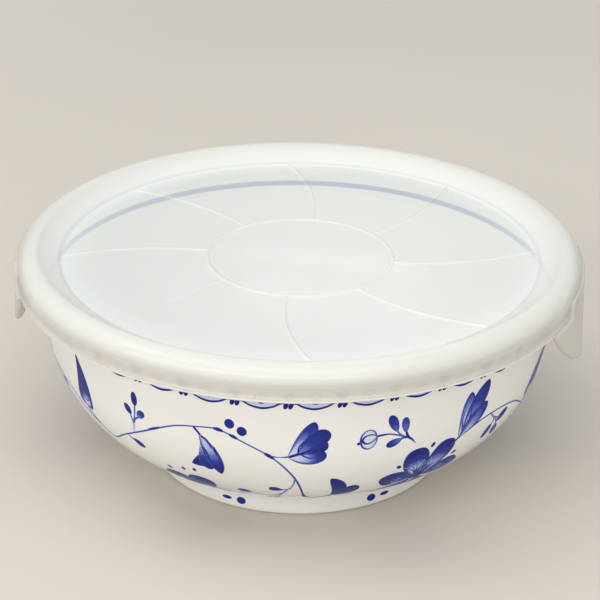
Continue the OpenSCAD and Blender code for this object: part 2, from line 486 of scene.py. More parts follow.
def sheet_pair(outer, inner, columns, rows):
    """Two equal grids joined along their rims, where their places are the same."""
    verts = list(outer)
    place = {}
    for i in range(columns):
        for j in range(rows):
            n = i * rows + j
            if i in (0, columns - 1) or j in (0, rows - 1):
                place[n] = n
            else:
                place[n] = len(verts)
                verts.append(inner[n])
    faces = []
    for i in range(columns - 1):
        for j in range(rows - 1):
            a = i * rows + j
            quad = (a, a + rows, a + rows + 1, a + 1)
            faces.append(quad)
            faces.append(tuple(place[n] for n in reversed(quad)))
    return verts, faces


def build_lid():
    """Lid as one piece: the moulded shell and its two tabs."""
    verts, faces, haze, light_and_shade = build_lid_shell()
    for azimuth in TAB_AZIMUTHS:
        more, quads = build_tab(azimuth)
        shift = len(verts)
        verts = verts + more
        faces = faces + [tuple(n + shift for n in quad) for quad in quads]
        haze = np.concatenate([haze, np.full(len(more), TAB_HAZE)])
        # The tabs get the skirt's painted darker shade.
        light_and_shade = np.concatenate([light_and_shade, np.full(len(more), SKIRT_SHADE_TINT)])
    return make_mesh("lid_shell", verts, faces, {"haze": haze, "light_and_shade": light_and_shade})


# Brush painting. Places on the bowl are (azimuth, way down from the lip along the outside).

# Turns of the three repeats, lift and thickness of the paint, waves of a sway, and top of the foot ring
REPEAT_TURNS = (2.5, 122.5, 242.5)
PAINT_LIFT = 0.035
PAINT_LAYER = 0.012
PAINT_T = 0.12
SWAY_WAVES = 6
SWAY_START = -87.5
FOOT_TOP = 6.0

# Mesh places across a mark, how its tone fades there, and where the rim of a leaf is drawn
ACROSS = np.array([-1.0, -0.9, -0.72, -0.42, -0.14, 0.14, 0.42, 0.72, 0.9, 1.0])
SOFT_EDGE = np.array([0.62, 0.9, 1.0, 1.0, 1.0, 1.0, 1.0, 1.0, 0.9, 0.62])
LEAF_RIM = np.array([1.0, 1.0, 0.35, 0.0, 0.0, 0.0, 0.0, 0.35, 1.0, 1.0])

# Cut of a leaf's two ends, waves of its streaks, bluntness of a stroke's ends, lap of a line's two halves
LEAF_TRIM = 0.06
STREAK_WAVES = 11
STROKE_BLUNT = 0.02
ROUND_LAP = 4
ROUND_STEP = 8


def outside_skin(down):
    """Radius, height and normal of the bowl's outside, by the way down from the lip."""
    way = down - WALL_LEN
    straight = np.maximum(-way, 0)
    angle = np.radians(-WALL_LEAN) - np.maximum(way, 0) / BELLY_R
    r = BELLY[0] + BELLY_R * np.cos(angle) + straight * WALL_UP[0]
    z = BELLY[1] + BELLY_R * np.sin(angle) + straight * WALL_UP[1]
    return r, z, np.cos(angle), np.sin(angle)


def inside_skin(down):
    """The same for the straight part of the inside, by the way down from the lip."""
    level = np.ones(np.shape(down))
    r = INNER_LIP[0] - down * WALL_UP[0]
    z = INNER_LIP[1] - down * WALL_UP[1]
    return r, z, -WALL_OUT[0] * level, -WALL_OUT[1] * level


def foot_skin(down):
    """The same for the upright outside of the foot ring, by the way down from its top."""
    level = np.ones(np.shape(down))
    return FOOT_R * level, FOOT_TOP - down, level, 0 * level


def smooth_curve(points, steps):
    """Smooth curve through points, with a number of steps between each two."""
    points = np.asarray(points, float)
    knots = np.vstack([2 * points[0] - points[1], points, 2 * points[-1] - points[-2]])
    t = np.linspace(0, 1, steps, endpoint=False)[:, None]
    pieces = []
    for a, b, c, d in zip(knots, knots[1:], knots[2:], knots[3:]):
        linear_part = (c - a) * t
        square_part = (2 * a - 5 * b + 4 * c - d) * t ** 2
        cube_part = (3 * b - a - 3 * c + d) * t ** 3
        pieces.append(b + (linear_part + square_part + cube_part) / 2)
    return np.vstack(pieces + [points[-1:]])


def spread(values, part):
    """Values given at even steps, read at parts of the whole between 0 and 1."""
    return np.interp(part, np.linspace(0, 1, len(values)), values)


class Paint:
    """Brush marks that become one thin piece.

    Its turn moves the next marks round the bowl, and its sway lets them rise and fall a little.
    """

    def __init__(self, skin=outside_skin, sway=0.0, leaf_steps=18, stroke_steps=6):
        self.skin = skin
        self.sway = sway
        self.leaf_steps = leaf_steps
        self.stroke_steps = stroke_steps
        self.turn = 0.0
        self.verts = []
        self.faces = []
        self.tones = []

    def patch(self, azimuth, down, tone, layer):
        """One grid of places, each row across the mark, with a tone per place."""
        rows, columns = azimuth.shape
        angle = np.radians(azimuth + self.turn)
        hand = self.sway * np.cos(SWAY_WAVES * (angle - math.radians(SWAY_START)))
        r, z, out_r, out_z = self.skin(down + hand)
        lift = PAINT_LIFT + layer * PAINT_LAYER
        x = (r + lift * out_r) * np.cos(angle)
        y = (r + lift * out_r) * np.sin(angle)
        start = len(self.verts)
        self.verts.extend(np.stack([x, y, z + lift * out_z], -1).reshape(-1, 3).tolist())
        self.tones.extend(np.clip(tone, 0, 1).ravel().tolist())
        for i in range(rows - 1):
            for j in range(columns - 1):
                a = start + i * columns + j
                quad = (a, a + 1, a + columns + 1, a + columns)
                self.faces.append(quad[::-1] if self.skin is inside_skin else quad)

    def ribbon(self, curve, half, tone, layer):
        """Mark along a curve, with a half width and a row of tones at each of its points."""
        scale = np.radians(1) * self.skin(curve[:, 1])[0]
        run = np.stack([np.gradient(curve[:, 0]) * scale, np.gradient(curve[:, 1])], 1)
        run /= np.maximum(np.hypot(run[:, 0], run[:, 1]), 1e-9)[:, None]
        reach = half[:, None] * ACROSS
        azimuth = curve[:, :1] - run[:, 1:] * reach / scale[:, None]
        down = curve[:, 1:] + run[:, :1] * reach
        self.patch(azimuth, down, tone, layer)

    def stroke(self, points, width, tones, layer=2):
        """Line through points with rounded ends, its widths and tones at even steps."""
        curve = smooth_curve(points, self.stroke_steps)
        scale = np.radians(1) * self.skin(curve[:, 1])[0]
        steps = np.hypot(np.diff(curve[:, 0]) * scale[1:], np.diff(curve[:, 1]))
        along = np.concatenate([[0], np.cumsum(steps)])
        half = spread(width, along / along[-1]) / 2
        end = np.clip(np.minimum(along, along[-1] - along) / half, STROKE_BLUNT, 1)
        half = half * np.sqrt(1 - (1 - end) ** 2)
        self.ribbon(curve, half, spread(tones, along / along[-1])[:, None] * SOFT_EDGE, layer)

    def round_line(self, down, width, tones, layer):
        """Line all round the bowl, as two strokes whose ends overlap."""
        for half in (0, 1):
            angles = range(-ROUND_LAP, 181 + 2 * ROUND_LAP, ROUND_STEP)
            points = [(180 * half + a, down) for a in angles]
            self.stroke(points, (width, width), tones, layer=layer + half)

    def leaf(self, root, tip, width, tones, bend=0.0, full=0.5, point=0.5, edge=0.9, streaks=0.0, layer=0):
        """Leaf or petal from its root to its tip.

        It is widest at a part of its length, full, and a larger point makes its tip sharper. Its bend
        is how far its middle stands aside. Tones run from root to tip, the edge is drawn in its own
        tone where that is darker, and streaks run along from the root.
        """
        part = (1 - np.cos(np.linspace(LEAF_TRIM, math.pi - LEAF_TRIM, self.leaf_steps))) / 2
        root = np.asarray(root, float)
        axis = np.asarray(tip, float) - root
        scale = math.radians(1) * float(self.skin(root[1] + axis[1] / 2)[0])
        length = math.hypot(axis[0] * scale, axis[1])
        side = np.array([-axis[1] / scale, axis[0] * scale]) / length
        curve = root + part[:, None] * axis + (4 * bend * part * (1 - part))[:, None] * side
        start = point * full / (1 - full)
        half = width / 2 * (part / full) ** start * ((1 - part) / (1 - full)) ** point
        tone = spread(tones, part)[:, None] * np.ones(len(ACROSS))
        tone = tone * (1 - streaks * np.cos(ACROSS * STREAK_WAVES) * (1 - part[:, None]))
        tone = tone + np.maximum(edge - tone, 0) * LEAF_RIM
        self.ribbon(curve, half, tone * SOFT_EDGE, layer)

    def dot(self, place, width, height, tone, lean=0.0, layer=1):
        """Oval dot of a size in millimetres, its longer axis leaning by an angle in degrees."""
        reach = heading(90 + lean) * height / 2
        step = np.array([reach[0] / (math.radians(1) * float(self.skin(place[1])[0])), reach[1]])
        ends = (np.array(place) - step, np.array(place) + step)
        self.leaf(*ends, width, (tone, tone), edge=tone, layer=layer)

    def piece(self, name, material):
        """The marks as one piece of the scene."""
        obj = make_mesh(name, self.verts, self.faces, {"tone": self.tones})
        depth = obj.modifiers.new("depth", "SOLIDIFY")
        depth.thickness = PAINT_T * MM
        depth.offset = -1.0
        obj.data.materials.append(material)
        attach(obj, "bowl")


def draw_vine(stems):
    """Main stem that runs up and down round the bowl, with knots where others leave it."""
    stems.stroke(((-137.4, 34.6), (-135, 36.7), (-132.4, 36.4), (-127.4, 32), (-120, 26.6), (-112, 21.4),
                  (-106, 19.6), (-101.4, 19.3), (-97, 22), (-90.7, 26.8), (-86.8, 32.7), (-84.6, 39.2),
                  (-83, 50)), (0.55, 0.45, 0.5, 0.45, 0.5, 0.6, 0.55),
                 (0.55, 0.66, 0.72, 0.55, 0.62, 0.52, 0.7, 0.75))
    stems.stroke(((-49.2, 32.8), (-47, 29), (-41, 25.6), (-34, 25), (-28, 26.7), (-22, 31), (-17.4, 34.6)),
                 (0.8, 0.45, 0.45, 0.55), (0.95, 0.75, 0.65, 0.75, 0.6))
    stems.stroke(((-119, 25.8), (-117.2, 24.5), (-115, 23.1)), (0.6, 0.8, 0.6), (0.6, 0.85, 0.6), layer=3)
    stems.stroke(((-102.6, 19.1), (-101.3, 19.3), (-100.3, 19.8)), (0.7, 1.3, 0.7), (0.7, 0.95, 0.7),
                 layer=3)
    stems.stroke(((-99.2, 20.4), (-98.3, 21), (-97.4, 21.7)), (0.7, 1.1, 0.7), (0.7, 0.95, 0.7), layer=3)
    stems.stroke(((-91.9, 25.7), (-90.9, 26.6), (-89.9, 27.6)), (0.8, 1.2, 0.7), (0.8, 1.0, 0.8), layer=3)
    stems.stroke(((-83.4, 47.2), (-83, 49.8), (-82.4, 51.4)), (0.7, 1.1, 0.6), (0.8, 0.95, 0.8), layer=3)


def draw_slender_leaf(stems, leaves):
    """Tall pointed leaf that stands on the vine."""
    leaves.leaf((-140.3, 29.2), (-138.3, 10), 6.4, (0.5, 0.7, 0.97, 1.0, 1.0, 1.0), bend=0.9, full=0.17,
                point=1.05, edge=1.0, streaks=0.2)
    leaves.leaf((-139.9, 28.6), (-139, 24.2), 3.2, (0.14, 0.25, 0.6), bend=0.3, full=0.45, edge=0.35,
                layer=1)
    leaves.stroke(((-140.1, 24), (-139.8, 26), (-138.9, 26.6), (-138.2, 25.6)), (0.45, 0.5, 0.4),
                  (0.95, 0.8))
    stems.stroke(((-140.2, 29), (-139.4, 31.4), (-137.4, 34.6)), (0.5, 0.5), (0.75, 0.75))


def draw_bud_sprig(stems, leaves):
    """Three small buds above the vine, and a leaf below it."""
    leaves.leaf((-121.2, 18.7), (-120.7, 13.8), 2.0, (0.85, 0.97, 0.85))
    leaves.leaf((-122.9, 22.4), (-123.9, 18.9), 2.1, (0.8, 0.95, 0.8), full=0.55, edge=0.85)
    leaves.leaf((-121.1, 22.6), (-119.2, 19.9), 2.4, (0.3, 0.7, 0.9), full=0.6, edge=0.72)
    stems.stroke(((-121.2, 18.5), (-121.7, 21.6), (-122.6, 25)), (0.45, 0.45, 0.5), (0.75, 0.55, 0.6))
    stems.stroke(((-123, 22.2), (-122.8, 24), (-122.6, 25.1)), (0.45, 0.45), (0.6, 0.65))
    stems.stroke(((-120.8, 22.4), (-121.8, 23.3), (-122.6, 25.1)), (0.5, 0.55), (0.75, 0.55))
    stems.stroke(((-122.6, 24.9), (-122.8, 26.4), (-123.4, 28.6)), (0.5, 0.45), (0.4, 0.22))
    stems.stroke(((-125.9, 31.1), (-125.2, 32.1), (-124.2, 32.5)), (0.45, 0.6), (0.5, 0.75))
    leaves.leaf((-124.8, 32), (-121.9, 34.3), 2.4, (0.7, 0.9, 0.95), full=0.55, point=0.55)


def draw_bell_flower(stems, blossoms):
    """Hanging flower of three petals, pale at its stem and dark at its mouth."""
    stems.stroke(((-107, 19.6), (-106.4, 20.8), (-105.5, 22.4)), (0.7, 0.6), (0.95, 0.95), layer=3)
    blossoms.leaf((-105.4, 23), (-109.2, 34.4), 4.6, (0.35, 0.5, 0.97, 1.0), bend=-3.4, full=0.66,
                  point=0.8, edge=0.97)
    blossoms.leaf((-105.6, 22), (-105.2, 35.6), 4.6, (0.25, 0.25, 0.5, 0.95, 1.0), bend=-0.5, full=0.7,
                  point=0.55, edge=0.3, streaks=0.1, layer=1)
    blossoms.leaf((-106, 21.6), (-102.5, 37), 4.4, (0.4, 0.22, 0.3, 0.65, 0.95, 1.0), bend=-0.9, full=0.56,
                  point=0.75, layer=2)
    blossoms.stroke(((-105.5, 22.6), (-104.3, 23.7), (-103.3, 26.6)), (0.6, 0.6, 0.35), (0.95, 0.9, 0.6),
                    layer=4)
    blossoms.stroke(((-105.5, 26.2), (-104.6, 28.4), (-104.3, 32)), (0.7, 0.5, 0.5), (0.95, 0.85, 0.8),
                    layer=4)
    blossoms.stroke(((-102.9, 25.6), (-102.6, 27.2), (-102.3, 28.8)), (0.5, 0.9, 0.4), (0.8, 0.95, 0.8),
                    layer=4)


def draw_berries(blossoms):
    """Two round berries beside the vine."""
    blossoms.dot((-98.9, 16.8), 2.6, 3.2, 0.95)
    blossoms.dot((-96.4, 18.9), 2.6, 3.1, 0.95)


def draw_tulip(stems, blossoms):
    """Half-open flower on a short stem, pale at its root and dark on its right."""
    stems.stroke(((-90.8, 26.6), (-89, 26.9), (-86.6, 26.6)), (0.6, 0.4, 0.6), (0.7, 0.38, 0.8))
    blossoms.leaf((-87, 26.6), (-79, 25.2), 5.4, (0.16, 0.14, 0.3, 0.75, 1.0), bend=1.1, full=0.64,
                  edge=0.85)
    blossoms.leaf((-87, 26.6), (-81.5, 14.6), 4.4, (0.15, 0.16, 0.28, 0.55, 0.78, 0.92), bend=0.9, full=0.6,
                  point=0.6, edge=0.8, layer=1)
    blossoms.leaf((-85, 26), (-78.6, 22), 4.6, (0.3, 0.55, 0.88, 0.92, 0.95), bend=-0.4, full=0.72,
                  point=0.45, edge=1.0, layer=2)
    blossoms.leaf((-85, 26), (-78.5, 17.9), 5, (0.3, 0.5, 0.8, 0.88, 0.95), bend=-0.3, full=0.7, point=0.45,
                  edge=1.0, layer=3)
    blossoms.stroke(((-86.9, 26.7), (-84.6, 25.5), (-82, 24)), (0.9, 0.7, 0.5), (0.98, 0.95, 0.95), layer=5)
    blossoms.stroke(((-84.8, 25.3), (-84.6, 23), (-83, 20.2), (-82.3, 18)), (0.45, 0.4), (0.9, 0.75),
                    layer=5)
    blossoms.stroke(((-84.4, 25.5), (-82.6, 26.9), (-80.8, 26.8)), (0.5, 0.4), (0.9, 0.8), layer=4)


def draw_low_branch(stems, leaves):
    """Thin branch near the foot with small leaves, and a dark forked leaf."""
    stems.stroke(((-85.5, 36.4), (-85.8, 39.4), (-87, 42.6), (-89.4, 43.5)), (0.5, 0.45, 0.6),
                 (0.5, 0.4, 0.75))
    stems.stroke(((-87.2, 43), (-88.6, 46.5), (-91, 53.4)), (0.45, 0.4), (0.5, 0.5))
    stems.stroke(((-88.6, 46.4), (-92.4, 50), (-97.4, 48)), (0.45, 0.4), (0.5, 0.5))
    stems.stroke(((-83, 50), (-80.4, 53.2), (-77.4, 51.2), (-76, 48.6)), (0.6, 0.45), (0.8, 0.7))
    leaves.leaf((-88.4, 43.5), (-91.8, 42.6), 2.9, (0.8, 1.0), full=0.6, edge=0.95)
    leaves.leaf((-89.8, 52.4), (-92.8, 55.8), 3.4, (0.7, 1.0), full=0.55, point=0.55)
    leaves.leaf((-96.8, 48.2), (-100.2, 46.4), 3.2, (0.7, 1.0), full=0.55, point=0.55)
    leaves.leaf((-76.3, 49.4), (-77.2, 36.4), 4, (0.9, 1.0, 1.0), bend=2.2, full=0.6, point=0.6, edge=1.0)
    leaves.leaf((-76.3, 49.4), (-70.9, 41.6), 5.4, (0.9, 1.0, 1.0), bend=1.2, full=0.62, point=0.6,
                edge=1.0, layer=1)


def draw_open_bud(stems, leaves, blossoms):
    """Round bud drawn in outline, on a stem with three leaves."""
    centre = np.array((-70.1, 21.8))
    ring = [centre + heading(a) * (1.75, 3.2) for a in range(-20, 341, 30)]
    blossoms.leaf((-71.8, 22), (-68.4, 21.6), 6.2, (0.14, 0.1, 0.14), edge=0.14)
    blossoms.stroke(ring, (0.45, 0.4, 0.55, 0.45, 0.45), (0.7, 0.4, 0.75, 0.7, 0.45, 0.65))
    blossoms.stroke(((-71.7, 22.4), (-71, 20.8), (-69.7, 20.2), (-68.4, 20.7)), (0.7, 0.45, 0.4),
                    (0.98, 0.8, 0.55))
    blossoms.stroke(((-71.7, 21.8), (-70.7, 23.1), (-69.4, 22.8), (-68.4, 21.4)), (0.8, 0.45, 0.4),
                    (0.98, 0.8, 0.55))
    blossoms.dot((-72.2, 22.9), 0.9, 1, 0.9)
    stems.stroke(((-68.5, 21), (-65.6, 20.9), (-62.4, 22.5), (-60.6, 23.7), (-59, 26)),
                 (0.8, 0.5, 0.5, 0.7, 0.35), (0.95, 0.65, 0.55, 0.9, 0.2))
    stems.stroke(((-64, 20.2), (-63.3, 21.5), (-62.2, 22.6)), (0.45, 0.55), (0.55, 0.65))
    stems.stroke(((-61.9, 20.9), (-61.6, 22), (-61, 23.4)), (0.6, 0.8), (0.85, 0.95))
    stems.stroke(((-63, 23.4), (-62.2, 23), (-61, 23.1)), (0.6, 0.7), (0.85, 0.95))
    leaves.leaf((-63.9, 20.6), (-65.9, 14.6), 2.6, (0.5, 0.65, 0.85, 0.9), full=0.6, edge=0.88)
    leaves.leaf((-61.9, 21.3), (-62.6, 16), 2.2, (0.5, 0.62, 0.75), full=0.58, edge=0.78)
    leaves.leaf((-62.6, 23.2), (-66, 25.1), 2.6, (0.5, 0.65, 0.9), full=0.6, edge=0.85)


def draw_tall_blossom(blossoms):
    """Tall flower of three petals at the end of the big flower's stem."""
    blossoms.leaf((-47.4, 29), (-46.8, 13.6), 4.2, (0.2, 0.14, 0.2, 0.45, 0.8), bend=0.6, full=0.6,
                  point=0.65, edge=0.85, streaks=0.25)
    blossoms.leaf((-47, 29), (-42.3, 11.4), 5.4, (0.2, 0.2, 0.35, 0.7, 0.88, 0.95), bend=0.2, full=0.62,
                  point=0.65, edge=0.95, streaks=0.35, layer=1)
    blossoms.leaf((-46.8, 29), (-41.1, 19.2), 4.6, (0.24, 0.3, 0.6, 0.92), bend=0.4, full=0.64, point=0.55,
                  edge=0.95, streaks=0.25, layer=2)
    blossoms.stroke(((-47.1, 28.6), (-45.9, 24.2), (-44, 20)), (0.5, 0.5, 0.35), (0.95, 0.9, 0.85), layer=4)
    blossoms.stroke(((-46.7, 25.6), (-45.5, 22.4), (-45.6, 18)), (0.4, 0.4), (0.85, 0.7), layer=4)
    blossoms.stroke(((-46.9, 26.6), (-47.5, 22), (-47, 17.6)), (0.4, 0.35), (0.8, 0.5), layer=4)


# Tones of petals, and the fine lines at their roots: places across, length and how much outer ones lack
PALE_PETAL = (0.6, 0.14, 0.22, 0.66, 0.97, 0.97)
DARK_PETAL = (0.9, 0.7, 0.8, 0.97, 1.0, 1.0)
PETAL_LINES = (-0.8, -0.4, 0.0, 0.4, 0.8)
PETAL_LINE_LEN = 0.62
PETAL_LINE_LACK = 0.12
PETAL_LINE_BEND = 0.3
PETAL_LINE_SPREAD = 0.3


def draw_flower(blossoms, petals):
    """Open flower. A petal has a root, tip, width, bend and tones, and fine lines at its root."""
    for layer, (root, tip, width, bend, tones) in enumerate(petals):
        blossoms.leaf(root, tip, width, tones, bend=bend, full=0.66, point=0.38, edge=1.0, streaks=0.3,
                      layer=layer % 3)
        root = np.array(root)
        axis = np.array(tip) - root
        across = np.array((-axis[1], axis[0])) * PETAL_LINE_SPREAD
        for lean in PETAL_LINES:
            end = root + axis * (PETAL_LINE_LEN - PETAL_LINE_LACK * abs(lean)) + across * lean
            middle = root + axis * PETAL_LINE_BEND + across * lean * PETAL_LINE_BEND
            blossoms.stroke((root, middle, end), (0.55, 0.35, 0.2), (0.95, 0.8, 0.35), layer=4)


def draw_big_flower(blossoms):
    """Open flower of six petals round a dark middle, with dots between their tips."""
    petals = (
        ((-54.9, 42.8), (-58, 28.4), 7.6, -0.5, PALE_PETAL),
        ((-53.4, 42.6), (-49.8, 28), 7.2, 0.5, PALE_PETAL),
        ((-52.4, 44), (-43.4, 39.6), 8.6, 0.6, DARK_PETAL),
        ((-55.6, 44.4), (-64.4, 43.4), 9.2, 1.4, DARK_PETAL),
        ((-55, 45.6), (-60.4, 57), 7, 0.5, DARK_PETAL),
        ((-52.8, 45.8), (-49.4, 58), 6.4, -0.5, DARK_PETAL),
    )
    draw_flower(blossoms, petals)
    blossoms.dot((-54, 43.4), 4.4, 5, 0.98, layer=5)
    for place, lean in (((-61.4, 35), -35), ((-54.2, 28.4), 20), ((-46.2, 35.5), 30)):
        blossoms.dot(place, 1.2, 1.8, 0.9, lean=lean)


def draw_low_flower(blossoms):
    """Open flower near the foot, between the vine and the foot ring."""
    petals = (
        ((-114.6, 54.4), (-117.2, 43.4), 8, -0.6, DARK_PETAL),
        ((-113.2, 54), (-109, 42), 8, 0.6, DARK_PETAL),
        ((-112.6, 55.4), (-104.8, 54), 5.4, 0.3, DARK_PETAL),
        ((-115.6, 55.4), (-122.6, 53.6), 5.4, -0.3, DARK_PETAL),
    )
    draw_flower(blossoms, petals)
    blossoms.dot((-114, 55.6), 4, 3.2, 0.98, layer=5)
    for place, lean in (((-117.2, 40.8), -20), ((-112.7, 39), -10), ((-109.5, 38), 10)):
        blossoms.dot(place, 1.1, 1.7, 0.88, lean=lean)


def draw_side_leaves(stems, leaves):
    """Three small leaves that hang below the rising vine."""
    stems.stroke(((-38, 25.2), (-36.4, 27.2), (-33.4, 29.2)), (0.5, 0.45), (0.5, 0.55))
    stems.stroke(((-36.4, 27.2), (-35.8, 28.8), (-36.2, 30.4)), (0.4, 0.45), (0.5, 0.6))
    stems.stroke(((-35.7, 27.8), (-34.4, 30), (-33.6, 32.2)), (0.4, 0.45), (0.5, 0.6))
    leaves.leaf((-34, 30.4), (-31.2, 26.8), 3.2, (0.85, 0.98), point=0.55, edge=0.95)
    leaves.leaf((-36.2, 30), (-36.9, 35.6), 2.6, (0.8, 0.95), point=0.55, edge=0.95)
    leaves.leaf((-33.8, 31.6), (-32.2, 36.6), 2.6, (0.8, 0.98), point=0.55, edge=0.95)


BORDER_COUNT = 34
BORDER_START = -105.5
BORDER_STEP = 360.0 / BORDER_COUNT
BORDER_SWAY = 0.4
BORDER_MM_PER_DEGREE = 1.25


def draw_border(border):
    """Scalloped border below the lip. The lid's skirt covers its upper part."""
    for i in range(BORDER_COUNT):
        border.turn = BORDER_START + i * BORDER_STEP
        mid = BORDER_STEP / 2
        border.stroke(((0, 8.1), (1.6, 8.2), (3, 9.3), (mid, 10), (2 * mid - 3, 9.3), (2 * mid - 1.6, 8.2),
                       (2 * mid, 8.1)), (0.5, 0.6, 0.75, 0.6, 0.5), (0.8, 0.85, 0.95, 0.85, 0.8))
        border.leaf((1.8, 8.3), (2 * mid - 1.8, 8.3), 2.4, (0.12, 0.16, 0.12), bend=0.5, point=0.6,
                    edge=0.14)
        border.dot((-0.5, 8.9), 1.2, 2.3, 1.0, lean=16, layer=3)
        border.dot((0.5, 8.9), 1.2, 2.3, 1.0, lean=16, layer=3)
        border.dot((mid, 8.3), 1.4, 0.5, 0.6, layer=3)
        for lean in (-28, 0, 28):
            x, y = heading(90 + lean) * 3.2
            tip = (x / BORDER_MM_PER_DEGREE, 7.6 - y)
            border.leaf((0, 7.6), tip, 1.2, (0.5, 0.85, 0.9), full=0.6, edge=0.85)
        border.stroke(((mid - 1.3, 7), (mid - 0.8, 5.7), (mid, 5.2), (mid + 0.8, 5.7), (mid + 1.3, 7)),
                      (0.4, 0.5, 0.4), (0.6, 0.85, 0.6))
        border.dot((mid, 6.7), 0.9, 0.9, 0.8)
    border.turn = 0.0
    border.round_line(2.6, 0.7, (0.85, 0.85), layer=0)
    border.round_line(3.7, 0.35, (0.6, 0.6), layer=0)


FOOT_PAIRS = ((-109.0, -1), (-53.0, 1))


def draw_foot_dots(dots):
    """Pairs of a long and a round dot on the foot ring. The long one is on the given side of a pair."""
    for azimuth, side in FOOT_PAIRS:
        dots.dot((azimuth + side * 3, FOOT_TOP - 2.9), 2.9, 1.1, 0.85)
        dots.dot((azimuth - side * 2.9, FOOT_TOP - 2.8), 2.7, 2.2, 0.88)


INNER_LINE_DOWN = 9.25
INNER_LINE_W = 1.5


def draw_inner_line(ring):
    """Soft line round the inside, a little below the lip."""
    ring.round_line(INNER_LINE_DOWN, INNER_LINE_W, (0.56, 0.6, 0.54, 0.59, 0.55), layer=2)


def draw_repeat(stems, leaves, blossoms):
    """One repeat of the flowers round the bowl."""
    draw_vine(stems)
    draw_slender_leaf(stems, leaves)
    draw_bud_sprig(stems, leaves)
    draw_bell_flower(stems, blossoms)
    draw_berries(blossoms)
    draw_tulip(stems, blossoms)
    draw_low_branch(stems, leaves)
    draw_open_bud(stems, leaves, blossoms)
    draw_tall_blossom(blossoms)
    draw_big_flower(blossoms)
    draw_low_flower(blossoms)
    draw_side_leaves(stems, leaves)


def paint_bowl(material):
    """All painting as six pieces."""
    stems = Paint()
    leaves = Paint()
    blossoms = Paint()
    border = Paint(sway=BORDER_SWAY, leaf_steps=10, stroke_steps=4)
    dots = Paint(skin=foot_skin)
    ring = Paint(skin=inside_skin)
    for turn in REPEAT_TURNS:
        for paint in (stems, leaves, blossoms, dots):
            paint.turn = turn
        draw_repeat(stems, leaves, blossoms)
        draw_foot_dots(dots)
    draw_border(border)
    draw_inner_line(ring)
    stems.piece("paint_stems", material)
    leaves.piece("paint_leaves", material)
    blossoms.piece("paint_blossoms", material)
    border.piece("paint_border", material)
    dots.piece("paint_foot_dots", material)
    ring.piece("paint_inner_line", material)


# Materials

BARE_EDGE_LOW_M = 0.0003
BARE_EDGE_HIGH_M = 0.0009


def linear_level(value):
    """Linear level of one channel of a colour, by the curve of a standard screen."""
    value /= 255
    return value / 12.92 if value <= 0.04045 else ((value + 0.055) / 1.055) ** 2.4


def linear(red, green, blue):
    """Linear colour from screen values between 0 and 255."""
    return (linear_level(red), linear_level(green), linear_level(blue), 1.0)


class Nodes:
    """Shorthand for building the node tree of one material."""

    def __init__(self, name):
        self.material = bpy.data.materials.new(name)
        self.material.use_nodes = True
        self.tree = self.material.node_tree
        self.shader = self.tree.nodes["Principled BSDF"]

    def add(self, kind, **settings):
        """New node of a kind, with its settings."""
        node = self.tree.nodes.new(kind)
        for key, value in settings.items():
            setattr(node, key, value)
        return node

    def link(self, source, target):
        """Lead an output to an input."""
        self.tree.links.new(source, target)

    def feed(self, socket, source):
        """Lead an output to an input of the shader."""
        self.link(source, self.shader.inputs[socket])

    def fix(self, socket, value):
        """Set an input of the shader to one value."""
        self.shader.inputs[socket].default_value = value

    def place(self):
        """Place on the object, in metres."""
        return self.add("ShaderNodeTexCoord").outputs["Object"]

    def attribute(self, name):
        """Value that the mesh has at its vertices."""
        return self.add("ShaderNodeAttribute", attribute_name=name).outputs["Fac"]

    def combine(self, operation, first, second):
        """Two values joined by an operation."""
        node = self.add("ShaderNodeMath", operation=operation)
        self.link(first, node.inputs[0])
        self.link(second, node.inputs[1])
        return node.outputs["Value"]

    def noise(self, scale, detail=2.0):
        """Cloudy value between 0 and 1. A larger scale makes smaller clouds."""
        node = self.add("ShaderNodeTexNoise")
        node.inputs["Scale"].default_value = scale
        node.inputs["Detail"].default_value = detail
        self.link(self.place(), node.inputs["Vector"])
        return node.outputs["Fac"]

    def ramp(self, source, stops):
        """Colour that a value picks between stops, each a place and a colour."""
        node = self.add("ShaderNodeValToRGB")
        band = node.color_ramp
        while len(band.elements) < len(stops):
            band.elements.new(0.5)
        for element, (place, colour) in zip(band.elements, stops):
            element.position = place
            element.color = colour
        self.link(source, node.inputs["Fac"])
        return node.outputs["Color"]

    def span(self, source, low, high):
        """Value between low and high for a source between 0 and 1."""
        node = self.add("ShaderNodeMapRange")
        node.inputs["To Min"].default_value = low
        node.inputs["To Max"].default_value = high
        self.link(source, node.inputs["Value"])
        return node.outputs["Result"]

    def bump(self, height, strength, distance):
        """Uneven surface from a value, at most a distance in metres high."""
        node = self.add("ShaderNodeBump")
        node.inputs["Strength"].default_value = strength
        node.inputs["Distance"].default_value = distance
        self.link(height, node.inputs["Height"])
        self.feed("Normal", node.outputs["Normal"])


def glaze_ripple(nodes):
    """Faint unevenness of the glaze, the same with and without painting."""
    nodes.bump(nodes.noise(160.0), strength=0.06, distance=0.0004)


